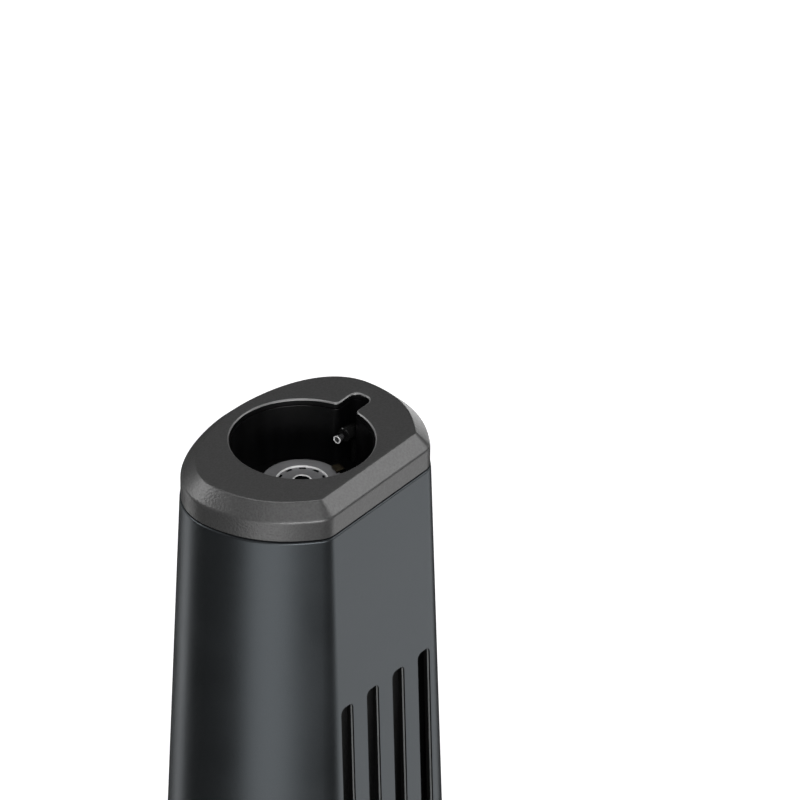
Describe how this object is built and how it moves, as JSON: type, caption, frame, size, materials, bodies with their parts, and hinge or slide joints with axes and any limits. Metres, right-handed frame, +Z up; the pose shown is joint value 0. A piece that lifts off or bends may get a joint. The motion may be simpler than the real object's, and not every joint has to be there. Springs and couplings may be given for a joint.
{
  "type": "butane torch",
  "caption": "Upright hand-held butane torch: tapered D-section metal body with a vented flat side, recessed jet burner, rear trigger, lock slider and refill base.",
  "frame": {"origin": "middle of the outline on the surface the torch stands on", "axes": "+Z up along the torch, from the base to the burner; -Y is the flat vented side, +Y the rounded side with the trigger; +X the side of the electrode"},
  "size_m": [0.0448, 0.035, 0.15],
  "materials": {
    "gunmetal_body": "satin gunmetal paint, very fine",
    "textured_cap": "matt dark grey with a fine grained texture",
    "black_liner": "smooth semi-gloss black",
    "burner_steel": "satin stainless with bright edges",
    "steel": "plain zinc plated steel",
    "screw_steel": "blackened steel screws",
    "electrode_metal": "bright metal",
    "insulator": "glossy dark glazed ceramic",
    "brass": "turned brass, lightly tarnished",
    "lead_sheath": "soft red insulation",
    "smoked_tank": "dark smoked plastic",
    "black_plastic": "moulded matt black",
    "trigger_plastic": "moulded black with a fine spark texture",
    "rubber": "matt black rubber"
  },
  "bodies": {
    "housing": {"body_shell": "gunmetal_body", "top_cap": "textured_cap", "bore_liner": "black_liner", "base_cap": "textured_cap", "base_plate": "black_plastic", "foot_ring": "rubber", "flame_disc": "burner_steel", "burner_flange": "burner_steel", "burner_tube": "burner_steel", "jet_holder": "brass", "jet_nut": "steel", "gas_jet": "brass", "electrode_insulator": "insulator", "electrode_tip": "electrode_metal", "ground_tab": "brass", "ignition_lead": "lead_sheath", "fuel_tank": "smoked_tank", "tank_gasket": "rubber", "tank_lid": "black_plastic", "valve_block": "brass", "gas_hose": "rubber", "valve_spring": "steel", "refill_valve_body": "brass", "refill_cage": "brass", "refill_spring": "steel", "adjust_seal": "rubber", "chassis": "black_plastic", "piezo_body": "black_plastic", "trigger_spring": "steel", "lever_pin": "steel", "base_screw_1": "screw_steel", "base_screw_2": "screw_steel", "valve_screw_1": "screw_steel", "valve_screw_2": "screw_steel", "chassis_screw_1": "screw_steel", "chassis_screw_2": "screw_steel"},
    "trigger": {"trigger_button": "trigger_plastic", "piezo_plunger": "black_plastic"},
    "lever": {"gas_lever": "steel"},
    "stem": {"valve_stem": "steel"},
    "lock": {"lock_slider": "trigger_plastic"},
    "adjuster": {"adjust_knob": "black_plastic", "adjust_rod": "brass"},
    "refill": {"refill_stem": "brass"}
  },
  "joints": [
    {"name": "trigger_press", "type": "slide", "parent": "housing", "child": "trigger", "axis": [0, -1, 0], "range_m": [0, 0.0035], "stiffness_N_per_m": 3000, "springref_m": -0.001, "deforming": ["trigger_spring"]},
    {"name": "lever_turn", "type": "hinge", "parent": "housing", "child": "lever", "pos_m": [0.0076, 0.0008, 0.093], "axis": [-1, 0, 0], "range_deg": [0, 20.3]},
    {"name": "stem_lift", "type": "slide", "parent": "housing", "child": "stem", "axis": [0, 0, 1], "range_m": [0, 0.00122], "deforming": ["valve_spring"]},
    {"name": "lock_slide", "type": "slide", "parent": "housing", "child": "lock", "axis": [0, 0, -1], "range_m": [0, 0.003]},
    {"name": "adjust_turn", "type": "hinge", "parent": "housing", "child": "adjuster", "pos_m": [-0.007, -0.0032, 0.003], "axis": [0, 0, 1], "range_deg": [-135, 135]},
    {"name": "refill_press", "type": "slide", "parent": "housing", "child": "refill", "axis": [0, 0, 1], "range_m": [0, 0.0015], "stiffness_N_per_m": 800, "springref_m": -0.001, "deforming": ["refill_spring"]}
  ],
  "couplings": [
    {"joint": "lever_turn", "follows": "trigger_press", "rad_per_m": 100.7},
    {"joint": "stem_lift", "follows": "trigger_press", "ratio": 0.343}
  ]
}
